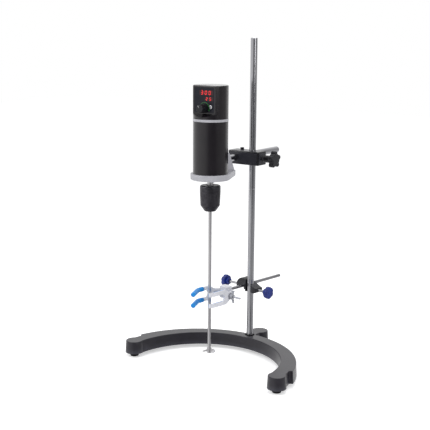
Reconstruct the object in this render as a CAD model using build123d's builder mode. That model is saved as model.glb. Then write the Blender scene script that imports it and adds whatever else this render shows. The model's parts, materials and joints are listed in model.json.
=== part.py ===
from build123d import *

import os
from math import asin, atan2, cos, degrees, hypot, pi, radians, sin, sqrt, tan

# Overhead stirrer on a horseshoe stand, in millimetres. Z is up from the bench,
# Y runs from the control panel back to the rod, X is to the right of the panel.
# The origin is on the bench, under the middle of the whole footprint.

os.makedirs("parts", exist_ok=True)

# Fits and clearances
fit = 0.05
running = 0.08
gap = 0.3
edge = 1.0

# Stand
rod_radius = 8.0
rod_top = 748.0
foot_height = 9.5
casting_height = 29.0
casting_draft = 3.0
horseshoe_outer = 223.5
leg_width = 44.5
inner_set_back = 12.5
horseshoe_sweep = 75.0
rod_inset = 9.5
lug_radius = 21.5
lug_inset = 23.5
lug_angle = 85.0
rear_lug_reach = 45.0
neck_width = 24.0
foot_radius = 11.0

# Motor unit: where it hangs from the rod, and its own heights
unit_offset = 35.0
unit_reach = 120.0
arm_radius = 8.0
arm_height = 472.0
arm_above_flange = 26.0
arm_behind_rod = 164.0
body_radius = 40.0
body_wall = 3.0
flange_height = 14.0
flange_radius = 45.4
housing_height = 118.5
ring_height = 6.0
head_height = 74.5
head_wall = 2.6
panel_distance = 25.5
tongue_reach = 78.0
tongue_width = 34.0
bracket_rise = 16.0

# Control panel, measured from the unit's axis and from the head's foot
panel_width = 54.0
panel_height = 56.0
panel_thickness = 1.2
panel_up = 14.0
control_up = 10.0
knob_across = 0.5
knob_radius = 11.0
knob_length = 18.0
button_across = 19.0
button_above_knob = 3.5
button_radius = 4.2
button_travel = 1.5
window_border = 1.2
board_size = 50.0

# Drive, chuck and stirrer
spindle_radius = 7.0
stirring_radius = 4.0
stirring_length = 400.0
stirring_above_collar = 1.0
chuck_drop = 13.0
chuck_height = 60.0
chuck_radius = 23.7
chuck_core = 15.8
jaw_radius = 3.5
jaw_lean = 10.0
jaw_length = 30.0
propeller_radius = 17.0

# Upper boss head
boss_width = 84.4
boss_depth = 37.0
boss_height = 32.0
boss_right = 27.4
star_radius = 20.0
star_screw_radius = 4.0

# Lower boss head and the vessel clamp
clamp_height = 160.0
clamp_rod_radius = 4.0
clamp_offset = 18.0
clamp_behind_rod = 131.0
neck_radius = 20.0
jaw_drop = 5.0
jaw_spread = 26.0
pad_thickness = 4.0
plate_thickness = 4.5
blue_knob_radius = 14.5
clamp_screw_radius = 3.0

# Heights and places worked out from the sizes above
casting_top = foot_height + casting_height
horseshoe_inner = horseshoe_outer - leg_width
rod_from_centre = horseshoe_outer - rod_inset
lug_from_centre = horseshoe_outer - lug_inset
lug_forward = lug_from_centre * cos(radians(lug_angle))
lug_sideways = lug_from_centre * sin(radians(lug_angle))
front_reach = rod_from_centre - lug_forward + lug_radius
rod_y = (front_reach - arm_behind_rod) / 2
unit_y = rod_y - unit_reach
flange_top = arm_height - arm_above_flange
flange_bottom = flange_top - flange_height
bracket_top = arm_height + bracket_rise
housing_top = flange_top + housing_height
head_bottom = housing_top + ring_height
head_top = head_bottom + head_height
arm_length = unit_reach + arm_behind_rod - body_radius - body_wall
chuck_top = flange_bottom - chuck_drop
chuck_bottom = chuck_top - chuck_height
stirring_bottom = chuck_top + stirring_above_collar - stirring_length
panel_bottom = head_bottom + panel_up
panel_centre = panel_bottom + panel_height / 2
control_height = panel_bottom + control_up
button_height = control_height + button_above_knob
jaw_height = clamp_height - jaw_drop

at_rod = Plane((0, rod_y, 0))
at_unit = Plane((-unit_offset, unit_y, 0))
at_horseshoe = Plane((0, rod_y - rod_from_centre, 0))

# The clamp points from the rod at the stirring shaft, so its frame is turned a little
shaft_distance = hypot(unit_offset, unit_reach)
clamp_turn = degrees(atan2(unit_offset, unit_reach) - asin(clamp_offset / shaft_distance))
neck_distance = sqrt(shaft_distance**2 - clamp_offset**2)
at_clamp = Plane((0, rod_y, 0)).rotated((0, 0, -clamp_turn))


def level(frame, height):
    """A horizontal plane of a frame at a height above the bench."""
    return frame.offset(height)


def facing(frame, distance, height=0.0, across=0.0):
    """An upright plane that faces the frame's -Y side."""
    upright = Plane((across, distance, height), x_dir=(1, 0, 0), z_dir=(0, -1, 0))
    return Plane(frame * upright)


def sideways(frame, across, distance=0.0, height=0.0):
    """An upright plane that faces the frame's +X side."""
    upright = Plane((across, distance, height), x_dir=(0, 1, 0), z_dir=(1, 0, 0))
    return Plane(frame * upright)


def keep(builder, node):
    """Label a finished piece and write it to its own file."""
    builder.part.label = node
    export_step(builder.part, f"parts/{node}.step")


# Horseshoe base: a tapering band with round lugs, cast in one piece
lug_spots = [(-lug_sideways, lug_forward), (lug_sideways, lug_forward)]
rear_lug_spot = (0, rod_from_centre + rear_lug_reach)
foot_spots = [*lug_spots, rear_lug_spot]
shoulder_step = 8.0
corner_round = 3.0
floor_under_rod = 6.0
rod_bolt_radius = 5.0
foot_screw_radius = 2.4
foot_screw_depth = 12.0


def horseshoe_band(outer, sweep):
    """One horseshoe band, open towards the front."""
    far = 2 * outer
    Circle(outer)
    with Locations((0, inner_set_back)):
        Circle(horseshoe_inner, mode=Mode.SUBTRACT)
    side = far * sin(radians(sweep))
    ahead = far * cos(radians(sweep))
    Polygon((0, 0), (-side, ahead), (-far, -far), (far, -far), (side, ahead), align=None,
            mode=Mode.SUBTRACT)


with BuildSketch(level(at_horseshoe, foot_height)) as narrow_band:
    horseshoe_band(horseshoe_outer - shoulder_step, lug_angle)

with BuildPart() as horseshoe_base:
    with BuildSketch(level(at_horseshoe, foot_height)) as base_plan:
        horseshoe_band(horseshoe_outer, horseshoe_sweep)
        add(narrow_band.sketch_local)
        with Locations(*lug_spots, rear_lug_spot):
            Circle(lug_radius)
        with Locations((0, rod_from_centre + rear_lug_reach / 2)):
            Rectangle(neck_width, rear_lug_reach)
        fillet(base_plan.vertices(), corner_round)
    extrude(amount=casting_height, taper=casting_draft)
    fillet(horseshoe_base.faces().sort_by(Axis.Z)[-1].edges(), edge * 1.5)
    with Locations(level(at_rod, casting_top)):
        CounterBoreHole(rod_radius + fit, rod_radius + 4, 2.5, casting_height - floor_under_rod)
        Hole(rod_bolt_radius + fit)
    with Locations(level(at_rod, foot_height)):
        Cylinder(rod_bolt_radius + 6, 4, mode=Mode.SUBTRACT,
                 align=(Align.CENTER, Align.CENTER, Align.MIN))
    with BuildSketch(level(at_horseshoe, foot_height)):
        with Locations(*foot_spots):
            Circle(foot_screw_radius + fit)
    extrude(amount=foot_screw_depth, mode=Mode.SUBTRACT)
keep(horseshoe_base, "horseshoe_base")

rod_foot = foot_height + floor_under_rod
with BuildPart() as support_rod:
    with BuildSketch(level(at_rod, rod_foot)):
        Circle(rod_radius)
    extrude(amount=rod_top - rod_foot)
    chamfer(support_rod.faces().sort_by(Axis.Z)[-1].edges(), edge)
    with BuildSketch(level(at_rod, rod_foot)):
        Circle(rod_bolt_radius + fit)
    extrude(amount=26, mode=Mode.SUBTRACT)
keep(support_rod, "support_rod")

bolt_seat = foot_height + 4
with BuildPart() as rod_washer:
    with BuildSketch(level(at_rod, bolt_seat - 2)):
        Circle(rod_bolt_radius + 5)
        Circle(rod_bolt_radius + fit, mode=Mode.SUBTRACT)
    extrude(amount=2)
keep(rod_washer, "rod_washer")

with BuildPart() as rod_bolt:
    with BuildSketch(level(at_rod, bolt_seat - 2 - 7)):
        RegularPolygon(rod_bolt_radius + 3, 6, major_radius=False)
    extrude(amount=7)
    with BuildSketch(level(at_rod, bolt_seat - 2)):
        Circle(rod_bolt_radius)
    extrude(amount=24)
keep(rod_bolt, "rod_bolt")

# Rubber feet under the three lugs, each held by a pan-head screw
foot_names = ["rubber_foot_left", "rubber_foot_right", "rubber_foot_rear"]
screw_head = 3.0
for spot, node in zip(foot_spots, foot_names):
    at_foot = Plane(at_horseshoe * Pos(*spot))
    with BuildPart() as rubber_foot:
        with BuildSketch(level(at_foot, 0)):
            Circle(foot_radius - 1.2)
        with BuildSketch(level(at_foot, foot_height)):
            Circle(foot_radius)
        loft()
        fillet(rubber_foot.faces().sort_by(Axis.Z)[0].edges(), 1.2)
        with BuildSketch(level(at_foot, 0)):
            Circle(foot_screw_radius + 2.6)
        extrude(amount=screw_head + 1.5, mode=Mode.SUBTRACT)
        with BuildSketch(level(at_foot, 0)):
            Circle(foot_screw_radius + fit)
        extrude(amount=foot_height, mode=Mode.SUBTRACT)
    keep(rubber_foot, node)

with BuildPart() as foot_screws:
    with BuildSketch(level(at_horseshoe, 1.5)):
        with Locations(*foot_spots):
            Circle(foot_screw_radius + 2.2)
    extrude(amount=screw_head)
    with BuildSketch(level(at_horseshoe, 1.5 + screw_head)):
        with Locations(*foot_spots):
            Circle(foot_screw_radius)
    extrude(amount=foot_height + foot_screw_depth - 2 - screw_head)
keep(foot_screws, "foot_screws")

# Motor flange: a cast ring whose rear tongue carries the bracket for the arm
lower_bearing_radius = 14.0
bearing_height = 7.0
journal_radius = spindle_radius + 0.5
flange_screw_circle = body_radius - 7.0
flange_screw_radius = 2.0
grub_radius = 3.0
arm_front = body_radius + body_wall
bracket_front = body_radius + 1.5
bracket_back = bracket_front + 11.0

with BuildSketch(level(at_unit, flange_bottom)) as flange_plan:
    Circle(flange_radius)
    with Locations((0, tongue_reach - 3)):
        RectangleRounded(tongue_width, 6, 2)
    make_hull()

with BuildPart() as motor_flange:
    add(flange_plan.sketch)
    extrude(amount=flange_height)
    fillet(motor_flange.faces().sort_by(Axis.Z)[0].edges(), edge * 3)
    fillet(motor_flange.faces().sort_by(Axis.Z)[-1].edges(), edge)
    with BuildSketch(sideways(at_unit, 0)):
        Polygon((bracket_front, flange_top - 2), (bracket_front, bracket_top),
                (bracket_back, bracket_top), (tongue_reach, flange_bottom + 6),
                (tongue_reach, flange_bottom + 4), (bracket_front, flange_bottom + 4),
                align=None)
    extrude(amount=tongue_width / 2 - 1, both=True)
    fillet(motor_flange.edges().filter_by(Axis.X).group_by(Axis.Z)[-1], edge * 2)
    with BuildSketch(facing(at_unit, arm_front, arm_height)):
        Circle(arm_radius + fit)
    extrude(amount=-tongue_reach, mode=Mode.SUBTRACT)
    with BuildSketch(level(at_unit, bracket_top)):
        with Locations((0, (bracket_front + bracket_back) / 2 + 1)):
            Circle(grub_radius + fit)
    extrude(amount=arm_height - bracket_top, mode=Mode.SUBTRACT)
    with Locations(level(at_unit, flange_top)):
        CounterBoreHole(spindle_radius + 1, lower_bearing_radius + fit, bearing_height + 2)
    with Locations(level(at_unit, flange_top)):
        with PolarLocations(flange_screw_circle, 4, start_angle=45):
            Hole(flange_screw_radius + fit)
keep(motor_flange, "motor_flange")

with BuildPart() as arm_grub_screw:
    with BuildSketch(level(at_unit, arm_height + arm_radius)):
        with Locations((0, (bracket_front + bracket_back) / 2 + 1)):
            Circle(grub_radius)
    extrude(amount=bracket_top - arm_height - arm_radius - 1.5)
    with BuildSketch(level(at_unit, bracket_top - 1.5)):
        with Locations((0, (bracket_front + bracket_back) / 2 + 1)):
            RegularPolygon(1.6, 6)
    extrude(amount=-3, mode=Mode.SUBTRACT)
keep(arm_grub_screw, "arm_grub_screw")

with BuildPart() as arm_rod:
    with BuildSketch(facing(at_unit, arm_front, arm_height)):
        Circle(arm_radius)
    extrude(amount=-arm_length)
    chamfer(arm_rod.edges().filter_by(GeomType.CIRCLE), edge)
    with BuildSketch(level(at_unit, arm_height + arm_radius)):
        with Locations((0, (bracket_front + bracket_back) / 2 + 1)):
            Circle(grub_radius + fit)
    extrude(amount=-0.6, mode=Mode.SUBTRACT)
keep(arm_rod, "arm_rod")

# Motor housing, trim ring and what they hold
with BuildPart() as motor_housing:
    with BuildSketch(level(at_unit, flange_top)):
        Circle(body_radius)
        Circle(body_radius - body_wall, mode=Mode.SUBTRACT)
    extrude(amount=housing_height)
    with BuildSketch(level(at_unit, flange_top)):
        with PolarLocations(flange_screw_circle, 4, start_angle=45):
            Circle(4.5)
        Circle(body_radius - body_wall / 2, mode=Mode.INTERSECT)
    extrude(amount=12)
    with BuildSketch(level(at_unit, flange_top)):
        with PolarLocations(flange_screw_circle, 4, start_angle=45):
            Circle(flange_screw_radius + fit)
    extrude(amount=10, mode=Mode.SUBTRACT)
keep(motor_housing, "motor_housing")

with BuildPart() as flange_screws:
    with BuildSketch(level(at_unit, flange_bottom - 2)):
        with PolarLocations(flange_screw_circle, 4, start_angle=45):
            Circle(flange_screw_radius * 1.8)
    extrude(amount=2)
    with BuildSketch(level(at_unit, flange_bottom)):
        with PolarLocations(flange_screw_circle, 4, start_angle=45):
            Circle(flange_screw_radius)
    extrude(amount=flange_height + 9)
keep(flange_screws, "flange_screws")

with BuildPart() as trim_ring:
    with BuildSketch(level(at_unit, housing_top)):
        Circle(body_radius + 0.4)
        Circle(body_radius - body_wall, mode=Mode.SUBTRACT)
    extrude(amount=ring_height)
    fillet(trim_ring.edges().filter_by(GeomType.CIRCLE).group_by(SortBy.RADIUS)[-1], edge)
keep(trim_ring, "trim_ring")

stator_bottom = flange_top + 26
stator_height = 48.0
stator_bore = 20.0
bearing_plate_bottom = stator_bottom + stator_height + 9
plate_thickness_motor = 8.0
winding_height = 8.0

with BuildPart() as stator:
    with BuildSketch(level(at_unit, stator_bottom)):
        Circle(body_radius - body_wall - fit)
        Circle(stator_bore, mode=Mode.SUBTRACT)
        with PolarLocations(stator_bore + 5, 12):
            Circle(2.4, mode=Mode.SUBTRACT)
    extrude(amount=stator_height)
keep(stator, "stator")

with BuildPart() as windings:
    for start in (stator_bottom - winding_height, stator_bottom + stator_height):
        with BuildSketch(level(at_unit, start)):
            Circle(stator_bore + 12)
            Circle(stator_bore + 1, mode=Mode.SUBTRACT)
        extrude(amount=winding_height)
    fillet(windings.edges().filter_by(GeomType.CIRCLE).group_by(SortBy.RADIUS)[-1], 2)
keep(windings, "windings")

with BuildPart() as bearing_plate:
    with BuildSketch(level(at_unit, bearing_plate_bottom)):
        Circle(body_radius - body_wall - fit)
    extrude(amount=plate_thickness_motor)
    with Locations(level(at_unit, bearing_plate_bottom + plate_thickness_motor)):
        CounterBoreHole(journal_radius + 1, lower_bearing_radius + fit, bearing_height)
keep(bearing_plate, "bearing_plate")


def ball_bearing(bottom):
    """A closed ball bearing, drawn as one ring with its two shields."""
    with BuildPart() as bearing:
        with BuildSketch(level(at_unit, bottom)):
            Circle(lower_bearing_radius)
            Circle(journal_radius + fit, mode=Mode.SUBTRACT)
        extrude(amount=bearing_height)
        for shield in (bottom, bottom + bearing_height - 0.4):
            with BuildSketch(level(at_unit, shield)):
                Circle(lower_bearing_radius - 1.6)
                Circle(journal_radius + 1.4, mode=Mode.SUBTRACT)
            extrude(amount=0.4, mode=Mode.SUBTRACT)
    return bearing


lower_bearing_bottom = flange_top - bearing_height - 2
upper_bearing_bottom = bearing_plate_bottom + plate_thickness_motor - bearing_height
keep(ball_bearing(lower_bearing_bottom), "lower_bearing")
keep(ball_bearing(upper_bearing_bottom), "upper_bearing")

# Control head: a round shell with a flat cut for the panel, ending in a sloping scoop
scoop_top = panel_bottom - 2.0
scoop_bottom = head_bottom + 4.5
upper_window = (5.5, 34.5, 37.0, 10.4)
lower_window = (12.6, 21.0, 23.0, 8.4)
windows = [upper_window, lower_window]


def head_body(inset, bottom):
    """The head's outer form, or its inside when it is inset by the wall."""
    with BuildPart() as body:
        with BuildSketch(level(at_unit, bottom)):
            Circle(body_radius - inset)
        extrude(amount=head_top - inset - bottom)
        with BuildSketch(sideways(at_unit, 0)):
            flat = -panel_distance + inset
            outside = -body_radius - 5
            Polygon((flat, head_top + 5), (flat, scoop_top - inset / 2),
                    (-body_radius - 0.5 + inset, scoop_bottom - inset / 2),
                    (outside, scoop_bottom - inset / 2), (outside, head_top + 5), align=None)
        extrude(amount=body_radius + 5, both=True, mode=Mode.SUBTRACT)
    return body


with BuildPart() as control_head:
    add(head_body(0, head_bottom).part)
    fillet(control_head.faces().sort_by(Axis.Z)[-1].edges(), edge * 2.5)
    add(head_body(head_wall, head_bottom).part, mode=Mode.SUBTRACT)
    with BuildSketch(facing(at_unit, -panel_distance, panel_centre)):
        RectangleRounded(panel_width + 2 * fit, panel_height + 2 * fit, 3)
    extrude(amount=-panel_thickness, mode=Mode.SUBTRACT)
    with BuildSketch(facing(at_unit, -panel_distance, control_height)):
        with Locations((knob_across, 0)):
            Circle(4.5)
        with Locations((button_across, button_above_knob)):
            Circle(button_radius + gap)
        for across, up, width, tall in windows:
            with Locations((across, up)):
                Rectangle(width + window_border, tall + window_border)
    extrude(amount=-3 * head_wall, mode=Mode.SUBTRACT)
keep(control_head, "control_head")

# Front panel with its two display windows
with BuildPart() as front_panel:
    with BuildSketch(facing(at_unit, -panel_distance, panel_centre)):
        RectangleRounded(panel_width, panel_height, 3)
    extrude(amount=-panel_thickness)
    with BuildSketch(facing(at_unit, -panel_distance, control_height)):
        with Locations((knob_across, 0)):
            Circle(3 + gap)
        with Locations((button_across, button_above_knob)):
            Circle(button_radius + gap)
        for across, up, width, tall in windows:
            with Locations((across, up)):
                RectangleRounded(width + 2 * fit, tall + 2 * fit, 1)
    extrude(amount=-panel_thickness, mode=Mode.SUBTRACT)
keep(front_panel, "front_panel")

for (across, up, width, tall), node in ((upper_window, "speed_display"),
                                        (lower_window, "torque_display")):
    with BuildPart() as display:
        with BuildSketch(facing(at_unit, -panel_distance, control_height)):
            with Locations((across, up)):
                RectangleRounded(width, tall, 1)
        extrude(amount=-panel_thickness - head_wall)
    keep(display, node)

board_distance = panel_distance - head_wall - 9.0
with BuildPart() as circuit_board:
    with BuildSketch(facing(at_unit, -board_distance, panel_centre)):
        Rectangle(board_size, board_size)
        with Locations((knob_across, control_height - panel_centre)):
            Circle(3 + gap, mode=Mode.SUBTRACT)
    extrude(amount=-1.6)
    with BuildSketch(facing(at_unit, -board_distance + 1.6, panel_centre)):
        with Locations((-16, 14), (8, 16)):
            Rectangle(12, 16)
    extrude(amount=-8)
keep(circuit_board, "circuit_board")

with BuildPart() as potentiometer:
    with BuildSketch(facing(at_unit, -board_distance - 8, control_height)):
        with Locations((knob_across, 0)):
            Circle(8)
            Circle(3 + running, mode=Mode.SUBTRACT)
    extrude(amount=-8)
keep(potentiometer, "potentiometer")

with BuildPart() as push_switch:
    with BuildSketch(facing(at_unit, -board_distance - 3.5, button_height)):
        with Locations((button_across, 0)):
            Rectangle(5.6, 8)
    extrude(amount=-3.5)
keep(push_switch, "push_switch")

# Speed knob: fluted grip with a pointer ridge, on its own spindle
knob_back = -panel_distance - 0.6
with BuildPart() as speed_knob:
    with BuildSketch(facing(at_unit, knob_back, control_height)):
        with Locations((knob_across, 0)):
            Circle(knob_radius)
    extrude(amount=3)
    with BuildSketch(facing(at_unit, knob_back - 3, control_height)):
        with Locations((knob_across, 0)):
            Circle(knob_radius - 1.2)
            with PolarLocations(knob_radius - 0.4, 10, start_angle=18):
                Circle(1.7, mode=Mode.SUBTRACT)
    extrude(amount=knob_length - 3, taper=3)
    fillet(speed_knob.faces().sort_by(Axis.Y)[0].edges(), 0.8)
    with BuildSketch(facing(at_unit, knob_back, control_height)):
        with Locations((knob_across, 0)):
            Circle(3 + fit)
    extrude(amount=knob_length - 3, mode=Mode.SUBTRACT)
keep(speed_knob, "speed_knob")

with BuildPart() as knob_spindle:
    with BuildSketch(facing(at_unit, -board_distance - 1, control_height)):
        with Locations((knob_across, 0)):
            Circle(3)
    extrude(amount=panel_distance - board_distance + knob_length - 4)
keep(knob_spindle, "knob_spindle")

# Push button, its return spring and the stem that reaches the switch
button_proud = 2.6
stem_gap = button_travel + 0.2
with BuildPart() as start_button:
    with BuildSketch(facing(at_unit, -panel_distance - button_proud, button_height)):
        with Locations((button_across, 0)):
            Circle(button_radius)
    extrude(amount=-button_proud - 2.4)
    fillet(start_button.faces().sort_by(Axis.Y)[0].edges(), 0.8)
    with BuildSketch(facing(at_unit, -panel_distance + 2.4, button_height)):
        with Locations((button_across, 0)):
            Circle(1.2)
    extrude(amount=-(panel_distance - board_distance - 3.5 - 2.4 - stem_gap))
keep(start_button, "start_button")

spring_back = -board_distance - 3.5
spring_front = -panel_distance + 2.4
wire_radius = 0.35
coil_radius = 2.0
coil_pitch = 1.7
coil_end = wire_radius + 0.1
coil_start = facing(at_unit, spring_back - coil_end, button_height, button_across).origin
coil = Helix(coil_pitch, spring_back - spring_front - 2 * coil_end, coil_radius,
             center=coil_start, direction=(0, -1, 0))
with BuildPart() as button_spring:
    with BuildSketch(Plane(coil @ 0, z_dir=coil % 0)):
        RegularPolygon(wire_radius, 8)
    sweep(path=coil, is_frenet=True)
keep(button_spring, "button_spring")

# Output spindle and rotor, turning together
spindle_bottom = chuck_top - 20.0
spindle_top = bearing_plate_bottom + plate_thickness_motor + 4
with BuildPart() as output_spindle:
    with BuildSketch(level(at_unit, spindle_bottom)):
        Circle(spindle_radius)
    extrude(amount=lower_bearing_bottom - spindle_bottom)
    with BuildSketch(level(at_unit, lower_bearing_bottom)):
        Circle(journal_radius)
    extrude(amount=spindle_top - lower_bearing_bottom)
    with BuildSketch(level(at_unit, spindle_bottom)):
        Circle(stirring_radius + fit)
    extrude(amount=spindle_top - spindle_bottom, mode=Mode.SUBTRACT)
keep(output_spindle, "output_spindle")

with BuildPart() as rotor:
    with BuildSketch(level(at_unit, stator_bottom + 1)):
        Circle(stator_bore - 0.6)
        Circle(journal_radius + fit, mode=Mode.SUBTRACT)
    extrude(amount=stator_height - 2)
    fillet(rotor.edges().filter_by(GeomType.CIRCLE).group_by(SortBy.RADIUS)[-1], edge)
keep(rotor, "rotor")

# Chuck: steel core with three leaning jaws, a fixed rear collar and a turning sleeve
collar_height = 14.5
collar_bottom = chuck_top - collar_height
cone_height = 13.5
nose_radius = 13.0
sleeve_bottom_radius = 22.3
jaw_foot = chuck_bottom + 3.0
jaw_axis_radius = 6.2
jaw_travel = 2.4
core_top = chuck_top - 7

jaw_turns = [0, 120, 240]


def jaw_frame(turn):
    """The leaning axis of one jaw, from its foot upwards and outwards."""
    across = (cos(radians(jaw_lean)), 0, -sin(radians(jaw_lean)))
    upwards = (sin(radians(jaw_lean)), 0, cos(radians(jaw_lean)))
    foot = Plane((jaw_axis_radius, 0, jaw_foot), x_dir=across, z_dir=upwards)
    return Plane(at_unit.rotated((0, 0, turn)) * foot)


for number, turn in enumerate(jaw_turns, start=1):
    with BuildPart() as chuck_jaw:
        with BuildSketch(jaw_frame(turn).offset(-4)):
            Circle(jaw_radius)
        extrude(amount=jaw_length + 4)
        with BuildSketch(level(at_unit, jaw_foot - 10)):
            Circle(chuck_radius)
        extrude(amount=10, mode=Mode.SUBTRACT)
        with BuildSketch(level(at_unit, jaw_foot - 10)):
            Circle(stirring_radius + fit)
        extrude(amount=jaw_length + 20, mode=Mode.SUBTRACT)
    keep(chuck_jaw, f"chuck_jaw_{number}")

with BuildPart() as chuck_core_body:
    with BuildSketch(sideways(at_unit, 0)):
        Polygon((0, jaw_foot + 1.5), (10.6, jaw_foot + 1.5), (chuck_core, jaw_foot + 9),
                (chuck_core, core_top), (0, core_top), align=None)
    revolve(axis=Axis(at_unit.origin, (0, 0, 1)))
    with BuildSketch(level(at_unit, jaw_foot)):
        Circle(stirring_radius + gap)
    extrude(amount=chuck_height, mode=Mode.SUBTRACT)
    with BuildSketch(level(at_unit, spindle_bottom - 0.2)):
        Circle(spindle_radius + fit)
    extrude(amount=chuck_height, mode=Mode.SUBTRACT)
    for turn in jaw_turns:
        with BuildSketch(jaw_frame(turn).offset(-6)):
            Circle(jaw_radius + running)
        extrude(amount=jaw_length + 6 + jaw_travel + 1, mode=Mode.SUBTRACT)
keep(chuck_core_body, "chuck_core")

with BuildPart() as chuck_collar:
    with BuildSketch(level(at_unit, collar_bottom)):
        Circle(chuck_radius)
    extrude(amount=collar_height)
    fillet(chuck_collar.faces().sort_by(Axis.Z)[-1].edges(), 4)
    with BuildSketch(level(at_unit, collar_bottom)):
        Circle(chuck_core + fit)
    extrude(amount=core_top - collar_bottom, mode=Mode.SUBTRACT)
    with BuildSketch(level(at_unit, collar_bottom)):
        Circle(spindle_radius + 2.5)
    extrude(amount=collar_height, mode=Mode.SUBTRACT)
keep(chuck_collar, "chuck_collar")

rib_count = 20
with BuildPart() as chuck_sleeve:
    with BuildSketch(sideways(at_unit, 0)):
        Polygon((9.3, chuck_bottom), (nose_radius - 1, chuck_bottom),
                (nose_radius + 0.6, chuck_bottom + 1),
                (sleeve_bottom_radius, chuck_bottom + cone_height),
                (chuck_radius, collar_bottom - gap), (chuck_core + 2 * gap, collar_bottom - gap),
                (chuck_core + 2 * gap, jaw_foot + 7.5), (11.3, jaw_foot - 0.2),
                (9.3, jaw_foot - 0.5), align=None)
    revolve(axis=Axis(at_unit.origin, (0, 0, 1)))
    with BuildSketch(level(at_unit, collar_bottom - 3)):
        with PolarLocations(chuck_radius + 0.6, rib_count):
            Circle(1.5)
    extrude(amount=-(chuck_height - collar_height - cone_height - 2), mode=Mode.SUBTRACT)
keep(chuck_sleeve, "chuck_sleeve")

# Stirring shaft and the small propeller on its foot
with BuildPart() as stirring_shaft:
    with BuildSketch(level(at_unit, stirring_bottom)):
        Circle(stirring_radius)
    extrude(amount=stirring_length)
    chamfer(stirring_shaft.edges().filter_by(GeomType.CIRCLE), 0.5)
keep(stirring_shaft, "stirring_shaft")

blade_pitch = 38.0
hub_radius = 6.0
hub_height = 11.0
with BuildPart() as propeller:
    for turn in (0, 120, 240):
        blade_frame = level(at_unit, stirring_bottom + hub_height / 2).rotated((0, 0, turn))
        with BuildSketch(blade_frame * Rot(X=blade_pitch)):
            with Locations((propeller_radius / 2 + 2, 0)):
                Ellipse(propeller_radius / 2 - 2, 5.5)
        extrude(amount=0.7, both=True)
    with BuildSketch(level(at_unit, stirring_bottom)):
        Circle(hub_radius)
    extrude(amount=hub_height)
    with BuildSketch(level(at_unit, stirring_bottom)):
        Circle(stirring_radius + fit)
    extrude(amount=hub_height, mode=Mode.SUBTRACT)
keep(propeller, "propeller")

# Upper boss head: one block bored for the rod and, across it, for the arm
boss_bottom = arm_height - boss_height / 2
boss_middle = boss_right - boss_width / 2
set_screw_radius = 3.0
set_screw_back = 9.0
with BuildPart() as upper_boss_head:
    with BuildSketch(level(at_rod, boss_bottom)):
        with Locations((boss_middle, 0)):
            Rectangle(boss_width, boss_depth)
    extrude(amount=boss_height)
    fillet(upper_boss_head.edges().filter_by(Axis.Z), edge * 4)
    fillet(upper_boss_head.faces().sort_by(Axis.Z)[-1].edges(), edge * 3)
    fillet(upper_boss_head.faces().sort_by(Axis.Z)[0].edges(), edge * 2)
    with BuildSketch(level(at_rod, boss_bottom)):
        Circle(rod_radius + running)
    extrude(amount=boss_height, mode=Mode.SUBTRACT)
    with BuildSketch(facing(at_rod, boss_depth / 2, arm_height, -unit_offset)):
        Circle(arm_radius + running)
    extrude(amount=boss_depth, mode=Mode.SUBTRACT)
    with BuildSketch(level(at_rod, arm_height)):
        with Locations((-unit_offset, set_screw_back)):
            Circle(set_screw_radius + fit)
    extrude(amount=boss_height, mode=Mode.SUBTRACT)
    with BuildSketch(sideways(at_rod, 0, 0, arm_height)):
        Circle(star_screw_radius + running)
    extrude(amount=boss_width, mode=Mode.SUBTRACT)
keep(upper_boss_head, "upper_boss_head")

with BuildPart() as arm_set_screw:
    with BuildSketch(level(at_rod, arm_height + arm_radius + gap)):
        with Locations((-unit_offset, set_screw_back)):
            Circle(set_screw_radius)
    extrude(amount=boss_height / 2 - arm_radius + 1)
    with BuildSketch(level(at_rod, boss_bottom + boss_height + 0.5)):
        with Locations((-unit_offset, set_screw_back)):
            Circle(set_screw_radius * 1.5)
    extrude(amount=4)
    with BuildSketch(level(at_rod, boss_bottom + boss_height + 4.5)):
        with Locations((-unit_offset, set_screw_back)):
            RegularPolygon(set_screw_radius * 0.8, 6)
    extrude(amount=-2.5, mode=Mode.SUBTRACT)
keep(arm_set_screw, "arm_set_screw")

# Star knob with its clamping screw, on the right of the upper boss head
star_hub_start = boss_right + 8.6
star_start = star_hub_start + 17.0
star_thickness = 13.0
with BuildPart() as star_knob:
    with BuildSketch(sideways(at_rod, star_start, 0, arm_height)):
        Circle(star_radius - 5)
        with PolarLocations(star_radius - 5.5, 5, start_angle=90):
            Circle(5.5)
    extrude(amount=star_thickness)
    fillet(star_knob.faces().filter_by(GeomType.PLANE).edges(), 2)
    with BuildSketch(sideways(at_rod, star_hub_start, 0, arm_height)):
        Circle(star_radius * 0.42)
    extrude(amount=star_start - star_hub_start + 2)
    with BuildSketch(sideways(at_rod, star_hub_start, 0, arm_height)):
        Circle(star_screw_radius + fit)
    extrude(amount=star_start - star_hub_start + 4, mode=Mode.SUBTRACT)
keep(star_knob, "star_knob")

with BuildPart() as star_screw:
    with BuildSketch(sideways(at_rod, rod_radius + gap, 0, arm_height)):
        Circle(star_screw_radius)
    extrude(amount=star_start + 3 - rod_radius - gap)
    with BuildSketch(sideways(at_rod, boss_right + 2, 0, arm_height)):
        RegularPolygon(star_screw_radius * 1.6, 6)
    extrude(amount=4.5)
keep(star_screw, "star_screw")

# Lower boss head: an upright channel for the rod, and beside it a level one for the clamp
lower_front = -9.0
lower_back = 15.0
hook_radius = 19.5
hook_left = -clamp_offset - hook_radius
hook_foot = clamp_height - 8.0
channel_slack = 5.0
right_edge = 25.0
right_top = clamp_height + 2.0
right_bottom = clamp_height - 13.0
rod_screw_height = clamp_height - 5.0

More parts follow.
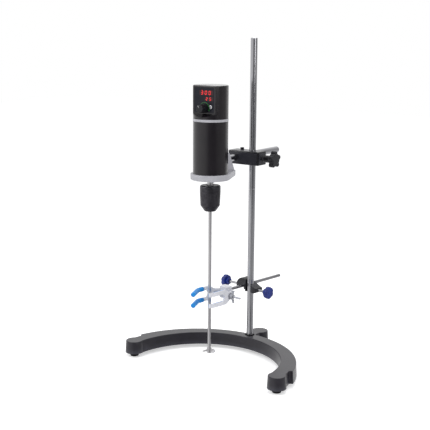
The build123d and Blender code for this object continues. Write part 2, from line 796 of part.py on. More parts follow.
with BuildPart() as lower_boss_head:
    with BuildSketch(facing(at_clamp, lower_back)) as hook_outline:
        with Locations((-clamp_offset, clamp_height)):
            Circle(hook_radius)
        with Locations((-clamp_offset, clamp_height - hook_radius)):
            Rectangle(3 * hook_radius, 2 * (hook_radius - clamp_height + hook_foot),
                      mode=Mode.SUBTRACT)
        with Locations((-clamp_offset, (clamp_height + hook_foot) / 2)):
            Rectangle(2 * hook_radius, clamp_height - hook_foot)
        Polygon((-clamp_offset + 8, clamp_height + 16), (right_edge - 8, right_top),
                (right_edge, right_top - 3), (right_edge, right_bottom + 3),
                (right_edge - 8, right_bottom), (-clamp_offset + 8, right_bottom), align=None)
        fillet(hook_outline.vertices(), edge * 2)
    extrude(amount=lower_back - lower_front)
    fillet(lower_boss_head.faces().filter_by(Axis(at_clamp.origin, at_clamp.y_dir)).edges(),
           edge)
    with BuildSketch(level(at_clamp, right_bottom)):
        Circle(rod_radius + running)
        with Locations((0, lower_front)):
            Rectangle(2 * (rod_radius + running), -2 * lower_front)
    extrude(amount=clamp_height + hook_radius - right_bottom, mode=Mode.SUBTRACT)
    with BuildSketch(facing(at_clamp, lower_back, clamp_height, -clamp_offset)):
        Circle(clamp_rod_radius + running)
        with Locations((-channel_slack / 2, -hook_radius / 2)):
            Rectangle(2 * (clamp_rod_radius + running) + channel_slack, hook_radius)
    extrude(amount=lower_back - lower_front, mode=Mode.SUBTRACT)
    with BuildSketch(sideways(at_clamp, -clamp_offset, 0, clamp_height)):
        Circle(clamp_screw_radius + running)
    extrude(amount=-2 * hook_radius, mode=Mode.SUBTRACT)
    with BuildSketch(sideways(at_clamp, 0, 0, rod_screw_height)):
        Circle(clamp_screw_radius + running)
    extrude(amount=right_edge + 5, mode=Mode.SUBTRACT)
keep(lower_boss_head, "lower_boss_head")

# The two blue-capped clamping screws of the lower boss head
blue_knob_length = 16.0
blue_hub_length = 6.0


def clamping_knob(start, height, side):
    """A lobed knob and its screw; side is +1 to the right, -1 to the left."""
    with BuildPart() as knob:
        with BuildSketch(sideways(at_clamp, start + side * blue_hub_length, 0, height)):
            Circle(blue_knob_radius)
            with PolarLocations(blue_knob_radius + 3.5, 6):
                Circle(5, mode=Mode.SUBTRACT)
        extrude(amount=side * (blue_knob_length - blue_hub_length))
        fillet(knob.faces().filter_by(GeomType.PLANE).edges(), 2)
        with BuildSketch(sideways(at_clamp, start, 0, height)):
            Circle(blue_knob_radius * 0.55)
        extrude(amount=side * (blue_hub_length + 2))
        with BuildSketch(sideways(at_clamp, start, 0, height)):
            Circle(clamp_screw_radius + fit)
        extrude(amount=side * 10, mode=Mode.SUBTRACT)
    return knob


def clamping_screw(tip, start, height, side):
    """The screw of a clamping knob, from its tip at the rod into the knob."""
    with BuildPart() as screw:
        with BuildSketch(sideways(at_clamp, tip, 0, height)):
            Circle(clamp_screw_radius)
        extrude(amount=side * (abs(start - tip) + 9.5))
    return screw


rod_knob_start = right_edge + 20.0
arm_knob_start = hook_left - 31.0
keep(clamping_knob(rod_knob_start, rod_screw_height, 1), "rod_clamp_knob")
keep(clamping_screw(rod_radius + gap, rod_knob_start, rod_screw_height, 1), "rod_clamp_screw")
keep(clamping_knob(arm_knob_start, clamp_height, -1), "clamp_rod_knob")
keep(clamping_screw(-clamp_offset - clamp_rod_radius - gap, arm_knob_start, clamp_height, -1),
     "clamp_rod_screw")

# Vessel clamp: its frame has the clamp rod's axis as Y and the rod's distance kept
at_jaws = Plane(at_clamp * Pos(-clamp_offset, 0, 0))
palm_back = -58.0
palm_front = -78.0
palm_half_width = 12.0
palm_half_height = 14.0
pivot_distance = -70.0
pivot_across = 17.0
knuckle_radius = 5.0
pin_radius = 2.0
knuckle_half = 6.0
plate_centre = neck_radius + pad_thickness + gap + plate_thickness / 2
screw_distance = pivot_distance - 14.0
adjusting_radius = 2.5
prong_height = 9.0
jaw_top = jaw_height + jaw_spread / 2 + prong_height / 2
jaw_bottom = jaw_height - jaw_spread / 2 - prong_height / 2
neck_y = -neck_distance
prong_root = neck_y + 18.0
far_prong_reach = 46.0
near_prong_reach = 24.0
far_tip = neck_y - far_prong_reach
near_tip = neck_y - near_prong_reach

with BuildPart() as clamp_rod:
    with BuildSketch(facing(at_jaws, palm_front + 6, clamp_height)):
        Circle(clamp_rod_radius)
    extrude(amount=-(clamp_behind_rod - palm_front - 6))
    chamfer(clamp_rod.edges().filter_by(GeomType.CIRCLE), edge)
keep(clamp_rod, "clamp_rod")


def jaw_side_cut(tip):
    """The side view of a jaw: a stem that spreads into an upper and a lower prong."""
    stem = 9.0
    Polygon((palm_back, jaw_height - stem), (palm_back, jaw_height + stem),
            (screw_distance, jaw_height + stem), (prong_root + 8, jaw_top),
            (tip - 10, jaw_top), (tip - 10, jaw_top - prong_height),
            (prong_root, jaw_top - prong_height),
            (prong_root + 5, jaw_height),
            (prong_root, jaw_bottom + prong_height), (tip - 10, jaw_bottom + prong_height),
            (tip - 10, jaw_bottom), (prong_root + 8, jaw_bottom),
            (screw_distance, jaw_height - stem), align=None)


def jaw_path(side, tip, tip_across, inward=0.0):
    """The plan of a jaw or of the pad on its inner side."""
    across = plate_centre - inward
    return [(side * across, prong_root + 6), (side * across, neck_y - 12),
            (side * (tip_across - inward / 2), tip + inward / 3)]


far_tip_across = 8.0
near_tip_across = 22.0

with BuildPart() as fixed_jaw:
    with BuildSketch(level(at_jaws, jaw_bottom)):
        with BuildLine():
            FilletPolyline((-palm_half_width + 3, palm_front + 6), (-plate_centre, screw_distance - 4),
                           *jaw_path(-1, far_tip, far_tip_across)[1:], radius=12)
        trace(line_width=plate_thickness)
    extrude(amount=jaw_top - jaw_bottom)
    with BuildSketch(sideways(at_jaws, 0)):
        jaw_side_cut(far_tip)
    extrude(amount=2 * plate_centre, both=True, mode=Mode.INTERSECT)
    with BuildSketch(level(at_jaws, jaw_height - palm_half_height + 2)):
        with Locations((0, (palm_front + palm_back) / 2)):
            RectangleRounded(2 * palm_half_width, palm_back - palm_front, 4)
    extrude(amount=2 * palm_half_height)
    with BuildSketch(level(at_jaws, jaw_height - knuckle_half - 4)) as ears:
        with Locations((pivot_across, pivot_distance)):
            Circle(knuckle_radius)
        with Locations((pivot_across - knuckle_radius, pivot_distance)):
            Rectangle(2 * knuckle_radius, 2 * knuckle_radius)
    extrude(amount=2 * knuckle_half + 8)
    with BuildSketch(level(at_jaws, jaw_height - knuckle_half - gap)):
        with Locations((pivot_across, pivot_distance)):
            Circle(knuckle_radius + 1)
        with Locations((pivot_across, pivot_distance - knuckle_radius)):
            Rectangle(2 * knuckle_radius + 2, 2 * knuckle_radius)
    extrude(amount=2 * knuckle_half + 2 * gap, mode=Mode.SUBTRACT)
    with BuildSketch(level(at_jaws, jaw_bottom)):
        with Locations((pivot_across, pivot_distance)):
            Circle(pin_radius + fit)
    extrude(amount=jaw_top - jaw_bottom, mode=Mode.SUBTRACT)
    with BuildSketch(facing(at_jaws, palm_back, clamp_height)):
        Circle(clamp_rod_radius + fit)
    extrude(amount=palm_back - palm_front - 6, mode=Mode.SUBTRACT)
    with BuildSketch(sideways(at_jaws, -2 * plate_centre, screw_distance, jaw_height)):
        Circle(adjusting_radius + fit)
    extrude(amount=2 * plate_centre, mode=Mode.SUBTRACT)
keep(fixed_jaw, "fixed_jaw")

with BuildPart() as jaw_pin:
    with BuildSketch(level(at_jaws, jaw_height - knuckle_half - 5)):
        with Locations((pivot_across, pivot_distance)):
            Circle(pin_radius)
    extrude(amount=2 * knuckle_half + 10)
keep(jaw_pin, "jaw_pin")

with BuildPart() as swing_jaw:
    with BuildSketch(level(at_jaws, jaw_bottom)):
        with BuildLine():
            FilletPolyline((pivot_across, pivot_distance), (plate_centre, screw_distance + 4),
                           *jaw_path(1, near_tip, near_tip_across)[1:], radius=6)
        trace(line_width=plate_thickness)
    extrude(amount=jaw_top - jaw_bottom)
    with BuildSketch(sideways(at_jaws, 0)):
        jaw_side_cut(near_tip)
    extrude(amount=2 * plate_centre, both=True, mode=Mode.INTERSECT)
    with BuildSketch(level(at_jaws, jaw_height - knuckle_half)):
        with Locations((pivot_across, pivot_distance)):
            Circle(knuckle_radius)
    extrude(amount=2 * knuckle_half)
    for start, tall in ((jaw_height + knuckle_half, 20), (jaw_height - knuckle_half, -20)):
        with BuildSketch(level(at_jaws, start)):
            with Locations((pivot_across, pivot_distance)):
                Circle(knuckle_radius + 3)
        extrude(amount=tall, mode=Mode.SUBTRACT)
    with BuildSketch(level(at_jaws, jaw_bottom)):
        with Locations((pivot_across, pivot_distance)):
            Circle(pin_radius + running)
    extrude(amount=jaw_top - jaw_bottom, mode=Mode.SUBTRACT)
    with BuildSketch(sideways(at_jaws, 0, screw_distance, jaw_height)):
        SlotOverall(13, 2 * adjusting_radius + 1.4)
        with Locations((prong_root + 15 - screw_distance - 14, 0)):
            Circle(2.6)
    extrude(amount=2 * plate_centre, mode=Mode.SUBTRACT)
keep(swing_jaw, "swing_jaw")


# Soft parts of the jaws: round sleeves over the far prongs, flat pads inside the near ones
sleeve_radius = 5.6
sleeve_past_tip = 2.5
prong_lean = Vector(plate_centre - far_tip_across, 12 - far_prong_reach).normalized()
sleeve_tip = (-far_tip_across + sleeve_past_tip * prong_lean.X,
              far_tip + sleeve_past_tip * prong_lean.Y)
with BuildPart() as fixed_jaw_pads:
    for prong_middle in (jaw_bottom + prong_height / 2, jaw_top - prong_height / 2):
        with BuildLine(level(at_jaws, prong_middle)) as sleeve_path:
            FilletPolyline((-plate_centre, neck_y + 4), (-plate_centre, neck_y - 12), sleeve_tip,
                           radius=12)
        with BuildSketch(facing(at_jaws, neck_y + 4, prong_middle, -plate_centre)):
            Circle(sleeve_radius)
        sweep(path=sleeve_path.line)
    fillet(fixed_jaw_pads.faces().sort_by(Axis(at_jaws.origin, at_jaws.y_dir))[0:2].edges(), 2)
    add(fixed_jaw.part, mode=Mode.SUBTRACT)
keep(fixed_jaw_pads, "fixed_jaw_pads")

pad_margin = 1.0
with BuildPart() as swing_jaw_pads:
    for pad_bottom in (jaw_bottom + pad_margin, jaw_top - prong_height + pad_margin):
        with BuildSketch(level(at_jaws, pad_bottom)):
            with BuildLine():
                FilletPolyline(*jaw_path(1, near_tip, near_tip_across,
                                         (plate_thickness + pad_thickness) / 2), radius=10)
            trace(line_width=pad_thickness)
        extrude(amount=prong_height - 2 * pad_margin)
    add(swing_jaw.part, mode=Mode.SUBTRACT)
keep(swing_jaw_pads, "swing_jaw_pads")

# Adjusting screw, its washer and the wing nut that closes the jaw
washer_start = plate_centre + plate_thickness / 2 + gap
washer_thickness = 1.5
nut_start = washer_start + washer_thickness + gap / 2
nut_length = 8.0
nut_radius = 5.5
wing_reach = 15.0
with BuildPart() as adjusting_screw:
    with BuildSketch(sideways(at_jaws, -plate_centre - plate_thickness / 2, screw_distance, jaw_height)):
        Circle(adjusting_radius)
    extrude(amount=2 * plate_centre + 36)
    chamfer(adjusting_screw.edges().filter_by(GeomType.CIRCLE), 0.5)
keep(adjusting_screw, "adjusting_screw")

with BuildPart() as nut_washer:
    with BuildSketch(sideways(at_jaws, washer_start, screw_distance, jaw_height)):
        Circle(nut_radius + 1.5)
        Circle(adjusting_radius + running, mode=Mode.SUBTRACT)
    extrude(amount=washer_thickness)
keep(nut_washer, "nut_washer")

with BuildPart() as wing_nut:
    with BuildSketch(sideways(at_jaws, nut_start, screw_distance, jaw_height)):
        Circle(nut_radius)
    extrude(amount=nut_length)
    with BuildSketch(facing(at_jaws, screw_distance - 1.2, jaw_height, nut_start)):
        for side in (1, -1):
            with BuildLine():
                Polyline((1, side * 3), (6, side * wing_reach), (12, side * wing_reach),
                         (nut_length - 1, side * 3), (1, side * 3))
            make_face()
    extrude(amount=-2.4)
    fillet(wing_nut.edges().filter_by(Axis(at_jaws.origin, at_jaws.y_dir)).group_by(
        Axis.Z)[-1], 2)
    fillet(wing_nut.edges().filter_by(Axis(at_jaws.origin, at_jaws.y_dir)).group_by(
        Axis.Z)[0], 2)
    with BuildSketch(sideways(at_jaws, nut_start, screw_distance, jaw_height)):
        Circle(adjusting_radius + running)
    extrude(amount=nut_length + 10, mode=Mode.SUBTRACT)
keep(wing_nut, "wing_nut")
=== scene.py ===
import json
import math

import bmesh
import bpy
from mathutils import Matrix, Vector


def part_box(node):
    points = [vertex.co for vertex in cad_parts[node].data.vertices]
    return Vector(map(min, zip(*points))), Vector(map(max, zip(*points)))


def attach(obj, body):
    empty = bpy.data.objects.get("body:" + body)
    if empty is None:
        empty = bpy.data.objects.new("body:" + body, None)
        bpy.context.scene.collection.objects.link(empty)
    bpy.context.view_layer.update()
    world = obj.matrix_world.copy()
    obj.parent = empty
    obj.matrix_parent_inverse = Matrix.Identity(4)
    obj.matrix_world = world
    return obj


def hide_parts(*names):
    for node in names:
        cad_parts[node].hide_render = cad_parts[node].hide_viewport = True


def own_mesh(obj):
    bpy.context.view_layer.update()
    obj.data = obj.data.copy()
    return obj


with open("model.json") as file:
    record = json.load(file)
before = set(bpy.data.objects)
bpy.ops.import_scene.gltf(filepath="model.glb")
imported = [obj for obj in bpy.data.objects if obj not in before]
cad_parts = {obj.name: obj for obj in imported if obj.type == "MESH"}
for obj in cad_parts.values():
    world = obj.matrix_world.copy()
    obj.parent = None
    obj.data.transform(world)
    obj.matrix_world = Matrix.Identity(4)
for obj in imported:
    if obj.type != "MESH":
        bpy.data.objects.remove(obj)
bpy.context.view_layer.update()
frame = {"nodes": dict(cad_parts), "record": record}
nodes = frame["nodes"]

# Camera, worked out from the photograph's vanishing lines, in metres

CAMERA_PLACE = Vector((1.2278, -1.8596, 0.7786))
CAMERA_AZIMUTH = math.radians(35.26)
CAMERA_PITCH = math.radians(11.18)
CAMERA_ROLL = math.radians(0.45)
FOCAL_PIXELS = 967.5
IMAGE_PIXELS = 430
SENSOR_WIDTH = 36.0


def add_camera():
    """The photograph's camera, as the scene's camera."""
    forward = Vector((-math.sin(CAMERA_AZIMUTH) * math.cos(CAMERA_PITCH),
                      math.cos(CAMERA_AZIMUTH) * math.cos(CAMERA_PITCH),
                      -math.sin(CAMERA_PITCH)))
    right = Vector((math.cos(CAMERA_AZIMUTH), math.sin(CAMERA_AZIMUTH), 0))
    up = right.cross(forward)
    rolled_right = right * math.cos(CAMERA_ROLL) + up * math.sin(CAMERA_ROLL)
    rolled_up = up * math.cos(CAMERA_ROLL) - right * math.sin(CAMERA_ROLL)
    turn = Matrix((rolled_right, rolled_up, -forward)).transposed()
    data = bpy.data.cameras.new("camera")
    data.sensor_width = SENSOR_WIDTH
    data.lens = SENSOR_WIDTH * FOCAL_PIXELS / IMAGE_PIXELS
    data.clip_start = 0.05
    data.clip_end = 50.0
    camera = bpy.data.objects.new("camera", data)
    camera.matrix_world = Matrix.Translation(CAMERA_PLACE) @ turn.to_4x4()
    bpy.context.scene.collection.objects.link(camera)
    bpy.context.scene.camera = camera


add_camera()


# Materials

def mixed_colour(tree, factor, first, second):
    """A mix of two colours, each given as a tuple or a socket."""
    mix = tree.nodes.new("ShaderNodeMix")
    mix.data_type = "RGBA"
    sockets = [socket for socket in mix.inputs if socket.type == "RGBA"]
    for socket, value in zip(sockets, (first, second)):
        if isinstance(value, tuple):
            socket.default_value = (*value, 1.0)
        else:
            tree.links.new(value, socket)
    tree.links.new(factor, mix.inputs["Factor"])
    return [socket for socket in mix.outputs if socket.type == "RGBA"][0]


def colour_ramp(tree, value, stops):
    """A value turned into colours by (place, colour) stops."""
    made = tree.nodes.new("ShaderNodeValToRGB")
    elements = made.color_ramp.elements
    for _ in range(len(stops) - 2):
        elements.new(0.5)
    for element, (place, colour) in zip(elements, stops):
        element.position = place
        element.color = (*colour, 1.0)
    tree.links.new(value, made.inputs["Fac"])
    return made.outputs["Color"]


class Look:
    """A node material with a Principled shader, and short ways to feed it."""

    def __init__(self, name):
        self.material = bpy.data.materials.new(name)
        self.material.use_nodes = True
        self.tree = self.material.node_tree
        self.shader = self.tree.nodes["Principled BSDF"]
        self.coordinates = self.node("ShaderNodeTexCoord").outputs["Object"]

    def node(self, kind, **settings):
        made = self.tree.nodes.new(kind)
        for key, value in settings.items():
            setattr(made, key, value)
        return made

    def link(self, start, end):
        self.tree.links.new(start, end)

    def stretched(self, scale):
        """Object coordinates scaled per axis."""
        mapping = self.node("ShaderNodeMapping")
        mapping.inputs["Scale"].default_value = scale
        self.link(self.coordinates, mapping.inputs["Vector"])
        return mapping.outputs["Vector"]

    def noise(self, size, detail=3.0, roughness=0.55, scale=(1, 1, 1)):
        """Noise with features of about this size in metres."""
        made = self.node("ShaderNodeTexNoise")
        made.inputs["Scale"].default_value = 1.0 / size
        made.inputs["Detail"].default_value = detail
        made.inputs["Roughness"].default_value = roughness
        self.link(self.stretched(scale), made.inputs["Vector"])
        return made.outputs["Fac"]

    def ramp(self, value, stops):
        return colour_ramp(self.tree, value, stops)

    def spread(self, value, low, high):
        """A value from 0 to 1 spread between two limits."""
        made = self.node("ShaderNodeMapRange")
        made.inputs["From Min"].default_value = 0.3
        made.inputs["From Max"].default_value = 0.7
        made.inputs["To Min"].default_value = low
        made.inputs["To Max"].default_value = high
        self.link(value, made.inputs["Value"])
        return made.outputs["Result"]

    def mixed(self, factor, first, second):
        return mixed_colour(self.tree, factor, first, second)

    def bump(self, height, strength, distance):
        """A height that only bends the shading normal; the distance is in metres."""
        made = self.node("ShaderNodeBump")
        made.inputs["Strength"].default_value = strength
        made.inputs["Distance"].default_value = distance
        self.link(height, made.inputs["Height"])
        self.link(made.outputs["Normal"], self.shader.inputs["Normal"])

    def worn_edges(self):
        """About 1 on sharp outer edges and about 0 elsewhere."""
        made = self.node("ShaderNodeNewGeometry")
        ramp = self.node("ShaderNodeMapRange")
        ramp.inputs["From Min"].default_value = 0.52
        ramp.inputs["From Max"].default_value = 0.62
        self.link(made.outputs["Pointiness"], ramp.inputs["Value"])
        return ramp.outputs["Result"]

    def set(self, **values):
        """Shader inputs by name, each from a socket, a colour or a number."""
        for key, value in values.items():
            socket = self.shader.inputs[key.replace("_", " ").title().replace("Ior", "IOR")]
            if hasattr(value, "is_linked"):
                self.link(value, socket)
            elif isinstance(value, tuple) and len(value) == 3:
                socket.default_value = (*value, 1.0)
            else:
                socket.default_value = value


def enamel(name, dark, light, roughness, grain, depth, wear=None, coat=0.0, specular=0.5):
    """Paint over a casting: soft unevenness, fine orange peel and worn edges."""
    look = Look(name)
    clouds = look.noise(0.035, 4.0)
    fine = look.noise(grain, 2.0)
    colour = look.ramp(clouds, [(0.3, dark), (0.7, light)])
    if wear:
        colour = look.mixed(look.worn_edges(), colour, wear)
    look.set(base_color=colour, roughness=look.spread(fine, roughness - 0.06, roughness + 0.06),
             coat_weight=coat, coat_roughness=0.12, specular_ior_level=specular)
    look.bump(fine, 0.35, depth)
    return look


def drawn_metal(name, dark, light, roughness, axis, fine=0.0012):
    """Drawn or ground bar: fine streaks along it and slight smudges."""
    look = Look(name)
    stretch = tuple(0.04 if k == axis else 1.0 for k in range(3))
    streaks = look.noise(fine, 2.0, scale=stretch)
    smudges = look.noise(0.02, 4.0)
    colour = look.ramp(look.noise(0.004, 3.0, scale=stretch), [(0.3, dark), (0.7, light)])
    look.set(base_color=colour, metallic=1.0,
             roughness=look.spread(smudges, roughness - 0.03, roughness + 0.05))
    look.bump(streaks, 0.05, 0.00001)
    return look


def turned_metal(name, dark, light, roughness, pitch=0.0006):
    """Turned or tumbled metal with a fine mottled skin."""
    look = Look(name)
    fine = look.noise(pitch, 3.0)
    colour = look.ramp(look.noise(0.006, 4.0), [(0.3, dark), (0.7, light)])
    look.set(base_color=colour, metallic=1.0,
             roughness=look.spread(fine, roughness - 0.06, roughness + 0.08))
    look.bump(fine, 0.2, 0.00005)
    return look


def moulded(name, dark, light, roughness, grain=0.0007, depth=0.00004, specular=0.5):
    """Moulded plastic or rubber with a fine spark-eroded skin."""
    look = Look(name)
    fine = look.noise(grain, 2.0)
    colour = look.ramp(look.noise(0.012, 4.0), [(0.3, dark), (0.7, light)])
    look.set(base_color=colour, roughness=look.spread(fine, roughness - 0.05, roughness + 0.06),
             specular_ior_level=specular)
    look.bump(fine, 0.3, depth)
    return look


ROD_TONES = ((0.34, 0.34, 0.36), (0.5, 0.5, 0.52))
LOOKS = {
    "casting": enamel("casting_enamel", (0.011, 0.0095, 0.0145), (0.018, 0.0155, 0.0235), 0.34,
                      0.0016, 0.0001, (0.05, 0.05, 0.065), coat=0.2, specular=0.4),
    "bright_rod": drawn_metal("plated_rod", *ROD_TONES, 0.16, 2),
    "rubber": moulded("foot_rubber", (0.01, 0.01, 0.011), (0.022, 0.022, 0.024), 0.75, 0.0009,
                      0.00008, 0.3),
    "zinc": turned_metal("zinc_plate", (0.45, 0.46, 0.5), (0.62, 0.63, 0.66), 0.32),
    "boss": enamel("boss_paint", (0.0045, 0.0045, 0.007), (0.009, 0.009, 0.013), 0.28, 0.0011,
                   0.00008, (0.03, 0.03, 0.038), coat=0.1, specular=0.35),
    "black_plastic": moulded("black_plastic", (0.006, 0.006, 0.008), (0.012, 0.012, 0.016), 0.32,
                              specular=0.35),
    "silver_paint": enamel("silver_paint", (0.36, 0.36, 0.39), (0.47, 0.47, 0.5), 0.38, 0.0008,
                           0.00004),
    "housing_paint": enamel("housing_paint", (0.007, 0.0055, 0.0075), (0.012, 0.0095, 0.012), 0.2,
                            0.0009, 0.00004, coat=0.5, specular=0.3),
    "panel": moulded("panel_film", (0.006, 0.006, 0.011), (0.01, 0.01, 0.017), 0.24, 0.0004,
                     0.00001, 0.25),
    "display": moulded("display_window", (0.02, 0.0, 0.001), (0.035, 0.001, 0.002), 0.1, 0.002,
                       0.000005),
    "board": moulded("board_resist", (0.008, 0.06, 0.02), (0.015, 0.09, 0.035), 0.35),
    "silver_button": turned_metal("button_metal", (0.55, 0.55, 0.57), (0.7, 0.7, 0.72), 0.25),
    "copper": drawn_metal("winding_wire", (0.4, 0.13, 0.04), (0.62, 0.24, 0.09), 0.35, 2, 0.001),
    "laminations": drawn_metal("stacked_sheet", (0.1, 0.1, 0.105), (0.2, 0.2, 0.205), 0.45, 0,
                               0.0007),
    "bearing_steel": turned_metal("bearing_steel", (0.45, 0.45, 0.47), (0.6, 0.6, 0.62), 0.2),
    "dark_steel": turned_metal("blackened_steel", (0.05, 0.048, 0.055), (0.08, 0.077, 0.086),
                               0.34),
    "stainless": drawn_metal("stainless_bar", (0.52, 0.51, 0.52), (0.68, 0.67, 0.68), 0.36, 2),
    "light_casting": enamel("tumbled_casting", (0.6, 0.61, 0.65), (0.76, 0.77, 0.82), 0.36,
                            0.0012, 0.00012),
    "blue_knob": moulded("blue_knob", (0.003, 0.013, 0.15), (0.006, 0.026, 0.23), 0.28),
    "blue_pad": moulded("blue_sleeve", (0.001, 0.2, 0.6), (0.002, 0.28, 0.74), 0.4, 0.0012,
                        0.00008),
}

LEVEL_ROD = drawn_metal("plated_level_rod", *ROD_TONES, 0.16, 1)
OWN_LOOKS = {"arm_rod": LEVEL_ROD, "clamp_rod": LEVEL_ROD}

node_slots = {entry["node"]: entry["material_slot"] for entry in frame["record"]["subparts"]}
for name, node in nodes.items():
    node.data.materials.clear()
    node.data.materials.append(OWN_LOOKS.get(name, LOOKS[node_slots[name]]).material)


# Fine detail that stands on the CAD pieces

def lit(name, colour, strength):
    """A lit or brightly printed mark with slight unevenness."""
    look = Look(name)
    patches = look.noise(0.0015, 2.0)
    dim = tuple(0.75 * c for c in colour)
    shade = look.ramp(patches, [(0.3, dim), (0.7, colour)])
    look.set(base_color=shade, roughness=0.35)
    if strength:
        look.link(shade, look.shader.inputs["Emission Color"])
        look.shader.inputs["Emission Strength"].default_value = strength
    return look


DIGIT_GLOW = lit("display_glow", (0.9, 0.02, 0.03), 0.9)
SCALE_GREEN = lit("scale_green", (0.02, 0.16, 0.03), 0.0)
MARK_WHITE = lit("pointer_white", (0.6, 0.6, 0.6), 0.0)

ROD_SEAM_HEIGHT = 0.3977
PRINT_PROUD = 0.00008
DIGIT_PROUD = 0.00012

front_low, front_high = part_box("front_panel")
knob_low, knob_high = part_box("speed_knob")
panel_face = front_low.y
knob_middle = (knob_low + knob_high) / 2


def new_piece(name, maker, look, body):
    """Turns a bmesh into a piece that rides on a body."""
    mesh = bpy.data.meshes.new(name)
    bmesh.ops.recalc_face_normals(maker, faces=maker.faces)
    maker.to_mesh(mesh)
    maker.free()
    mesh.materials.append(look.material)
    piece = bpy.data.objects.new(name, mesh)
    bpy.context.scene.collection.objects.link(piece)
    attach(piece, body)
    return piece


def plate(maker, outline, front, back):
    """A flat plate facing -Y with the outline's (x, z) corners."""
    near = [maker.verts.new((x, front, z)) for x, z in outline]
    far = [maker.verts.new((x, back, z)) for x, z in outline]
    maker.faces.new(near)
    maker.faces.new(far[::-1])
    count = len(outline)
    for k in range(count):
        following = (k + 1) % count
        maker.faces.new((near[k], far[k], far[following], near[following]))


SEGMENTS = {0: "abcdef", 1: "bc", 2: "abged", 3: "abgcd", 4: "fgbc", 5: "afgcd", 6: "afgedc",
            7: "abc", 8: "abcdefg", 9: "abcdfg"}


def add_digits(name, numbers, centre_x, centre_z, pitch, height, face):
    """Slanted seven-segment digits on a display."""
    maker = bmesh.new()
    width = height * 0.56
    stroke = height * 0.15
    half_w, half_h = width / 2, height / 2
    bars = {"a": ((-half_w, half_h), (half_w, half_h)), "d": ((-half_w, -half_h), (half_w, -half_h)),
            "g": ((-half_w, 0), (half_w, 0)), "f": ((-half_w, 0), (-half_w, half_h)),
            "b": ((half_w, 0), (half_w, half_h)), "e": ((-half_w, -half_h), (-half_w, 0)),
            "c": ((half_w, -half_h), (half_w, 0))}
    for place, number in enumerate(numbers):
        middle = centre_x + (place - (len(numbers) - 1) / 2) * pitch
        for letter in SEGMENTS[number]:
            start, end = (Vector(point) for point in bars[letter])
            along = (end - start).normalized()
            start += along * stroke * 0.25
            end -= along * stroke * 0.25
            side = Vector((-along.y, along.x)) * stroke / 2
            tip = along * stroke / 2
            corners = [start, start + tip + side, end - tip + side, end,
                       end - tip - side, start + tip - side]
            outline = [(middle + c.x + 0.1 * c.y, centre_z + c.y) for c in corners]
            plate(maker, outline, face - DIGIT_PROUD, face + 0.0001)
    return new_piece(name, maker, DIGIT_GLOW, "motor_unit")


upper_low, upper_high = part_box("speed_display")
lower_low, lower_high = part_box("torque_display")
add_digits("speed_digits", (3, 0, 0), (upper_low.x + upper_high.x) / 2 - 0.001,
           (upper_low.z + upper_high.z) / 2, 0.0105, 0.0078, upper_low.y)
add_digits("torque_digits", (2, 5), (lower_low.x + lower_high.x) / 2 - 0.001,
           (lower_low.z + lower_high.z) / 2, 0.0095, 0.0062, lower_low.y)


def add_speed_scale():
    """A widening green arc printed round the speed knob."""
    maker = bmesh.new()
    steps = 36
    centre = knob_middle
    for k in range(steps):
        corners = []
        for turn, outer in ((k, False), (k, True), (k + 1, True), (k + 1, False)):
            angle = math.radians(205 - 230 * turn / steps)
            radius = 0.0124 + (0.0004 + 0.0017 * turn / steps if outer else 0.0)
            corners.append((centre.x + radius * math.cos(angle),
                            centre.z + radius * math.sin(angle)))
        plate(maker, corners, panel_face - PRINT_PROUD, panel_face + 0.00005)
    return new_piece("speed_scale", maker, SCALE_GREEN, "motor_unit")


def add_knob_mark():
    """The white line on the speed knob's front."""
    maker = bmesh.new()
    angle = math.radians(125)
    along = Vector((math.cos(angle), math.sin(angle)))
    side = Vector((-along.y, along.x)) * 0.0005
    start, end = along * 0.0035, along * 0.0082
    outline = [(knob_middle.x + c.x, knob_middle.z + c.y)
               for c in (start - side, start + side, end + side, end - side)]
    plate(maker, outline, knob_low.y - 0.0001, knob_low.y + 0.0002)
    return new_piece("knob_mark", maker, MARK_WHITE, "speed_control")


def add_rod_joint():
    """The fine seam where the stand rod's two lengths meet, in the lighter button metal as a painted
    highlight on the joint.
    """
    rod_low, rod_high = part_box("support_rod")
    centre = (rod_low + rod_high) / 2
    radius = (rod_high.x - rod_low.x) / 2
    maker = bmesh.new()
    rings = [(radius - 0.0002, -0.0009), (radius + 0.00012, -0.0006),
             (radius + 0.00012, 0.0006), (radius - 0.0002, 0.0009)]
    steps = 64
    circles = []
    for size, lift in rings:
        circles.append([maker.verts.new((centre.x + size * math.cos(math.tau * k / steps),
                                         centre.y + size * math.sin(math.tau * k / steps),
                                         ROD_SEAM_HEIGHT + lift)) for k in range(steps)])
    for row in range(len(rings)):
        lower, upper = circles[row], circles[(row + 1) % len(rings)]
        for k in range(steps):
            following = (k + 1) % steps
            maker.faces.new((lower[k], lower[following], upper[following], upper[k]))
    # The lighter button metal on this real seam ring is a painted highlight, not the rod's own
    # plating.
    return new_piece("rod_seam_painted_highlight", maker, LOOKS["silver_button"], "stand")


def add_return_spring():
    """The button's spring, as its own copy of the CAD spring riding on the motor unit."""
    spring = bpy.data.objects.new("return_spring", nodes["button_spring"].data.copy())
    bpy.context.scene.collection.objects.link(spring)
    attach(spring, "motor_unit")
    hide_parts("button_spring")
    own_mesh(spring)


add_speed_scale()
add_knob_mark()
add_rod_joint()
add_return_spring()


# Floor, background and light

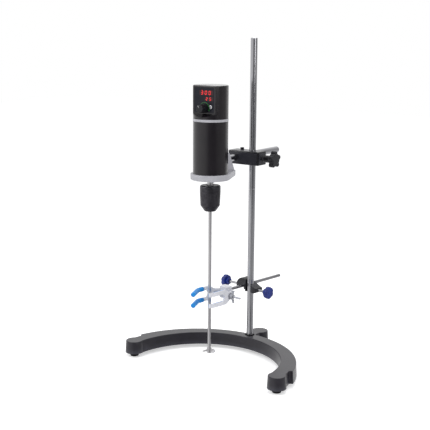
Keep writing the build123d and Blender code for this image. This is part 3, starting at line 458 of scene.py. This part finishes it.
CAMERA_RIGHT = (math.cos(CAMERA_AZIMUTH), math.sin(CAMERA_AZIMUTH), 0.0)
BEHIND = (-math.sin(CAMERA_AZIMUTH), math.cos(CAMERA_AZIMUTH), 0.0)
UPWARDS = (0.0, 0.0, 1.0)
WHITE = (1.0, 1.0, 1.0)
STUDIO_GREY = (0.62, 0.62, 0.63)
BACKDROP_SPAN = (0.3, 0.75)
OVERHEAD_SPAN = (0.55, 0.85)
STUDIO_SHADES = [(0.0, (0.95, 0.95, 0.95)), (0.22, (0.7, 0.7, 0.7)), (0.42, (0.2, 0.2, 0.21)),
                 (0.75, (0.1, 0.1, 0.11)), (1.0, (0.4, 0.4, 0.4))]
FLOOR_GLOW = 0.46
TABLE_FADE_START = 1.425
TABLE_FADE_END = 2.375
LEAST_SEEN_THROUGH = 0.62
FLOOR_HALF_WIDTH = 6.0


def add_floor():
    """A pale floor that reads white, keeps the shadow and shows in low reflections only."""
    mesh = bpy.data.meshes.new("floor")
    maker = bmesh.new()
    bmesh.ops.create_grid(maker, x_segments=1, y_segments=1, size=FLOOR_HALF_WIDTH)
    maker.to_mesh(mesh)
    maker.free()
    floor = bpy.data.objects.new("floor", mesh)
    bpy.context.scene.collection.objects.link(floor)
    look = Look("floor")
    look.set(base_color=(0.9, 0.9, 0.9), roughness=0.9, specular_ior_level=0.0)
    path = look.node("ShaderNodeLightPath")
    strength = look.node("ShaderNodeMath", operation="MULTIPLY")
    strength.inputs[1].default_value = FLOOR_GLOW
    look.link(path.outputs["Is Camera Ray"], strength.inputs[0])
    look.set(emission_color=(1.0, 1.0, 1.0), emission_strength=strength.outputs[0])
    far = look.node("ShaderNodeVectorMath", operation="LENGTH")
    look.link(look.coordinates, far.inputs[0])
    fading = look.node("ShaderNodeMapRange")
    fading.inputs["From Min"].default_value = TABLE_FADE_START
    fading.inputs["From Max"].default_value = TABLE_FADE_END
    fading.inputs["To Min"].default_value = LEAST_SEEN_THROUGH
    look.link(far.outputs["Value"], fading.inputs["Value"])
    past = look.node("ShaderNodeMath", operation="MULTIPLY")
    look.link(path.outputs["Is Glossy Ray"], past.inputs[0])
    look.link(fading.outputs["Result"], past.inputs[1])
    through = look.node("ShaderNodeMixShader")
    look.link(past.outputs[0], through.inputs["Fac"])
    look.link(look.shader.outputs["BSDF"], through.inputs[1])
    look.link(look.node("ShaderNodeBsdfTransparent").outputs["BSDF"], through.inputs[2])
    look.link(through.outputs["Shader"], look.tree.nodes["Material Output"].inputs["Surface"])
    floor.data.materials.append(look.material)


def add_world():
    """White to the camera, a graded studio in reflections and plain grey as light."""
    world = bpy.data.worlds.new("studio")
    world.use_nodes = True
    tree = world.node_tree
    direction = tree.nodes.new("ShaderNodeTexCoord").outputs["Generated"]

    def along(axis, low, high):
        """How far a ray's direction lies along an axis, as a share from low to high."""
        product = tree.nodes.new("ShaderNodeVectorMath")
        product.operation = "DOT_PRODUCT"
        product.inputs[1].default_value = axis
        tree.links.new(direction, product.inputs[0])
        share = tree.nodes.new("ShaderNodeMapRange")
        share.inputs["From Min"].default_value = low
        share.inputs["From Max"].default_value = high
        tree.links.new(product.outputs["Value"], share.inputs["Value"])
        return share.outputs["Result"]

    shades = colour_ramp(tree, along(CAMERA_RIGHT, -1.0, 1.0), STUDIO_SHADES)
    graded = mixed_colour(tree, along(BEHIND, *BACKDROP_SPAN), shades, WHITE)
    lit_above = mixed_colour(tree, along(UPWARDS, *OVERHEAD_SPAN), graded, WHITE)
    path = tree.nodes.new("ShaderNodeLightPath")
    reflected = mixed_colour(tree, path.outputs["Is Glossy Ray"], STUDIO_GREY, lit_above)
    clear = tree.nodes.new("ShaderNodeMath")
    clear.operation = "MAXIMUM"
    tree.links.new(path.outputs["Is Camera Ray"], clear.inputs[0])
    tree.links.new(path.outputs["Is Transmission Ray"], clear.inputs[1])
    seen = mixed_colour(tree, clear.outputs[0], reflected, WHITE)
    background = tree.nodes["Background"]
    tree.links.new(seen, background.inputs["Color"])
    background.inputs["Strength"].default_value = 1.0
    bpy.context.scene.world = world


def add_light(name, place, target, size, power):
    """A soft rectangular lamp aimed at a point."""
    data = bpy.data.lights.new(name, "AREA")
    data.shape = "RECTANGLE"
    data.size = size[0]
    data.size_y = size[1]
    data.energy = power
    light = bpy.data.objects.new(name, data)
    light.location = place
    direction = Vector(target) - Vector(place)
    light.rotation_euler = direction.to_track_quat("-Z", "Y").to_euler()
    bpy.context.scene.collection.objects.link(light)


add_floor()
add_world()
add_light("key", (-1.2, -1.9, 1.9), (0, 0, 0.35), (1.2, 1.2), 26)
add_light("fill", (2.2, -0.6, 1.2), (0, 0, 0.35), (1.0, 1.4), 10)
add_light("top", (0.2, 0.3, 2.3), (0, 0, 0.3), (1.6, 1.6), 16)

bpy.context.scene.view_settings.view_transform = "Standard"
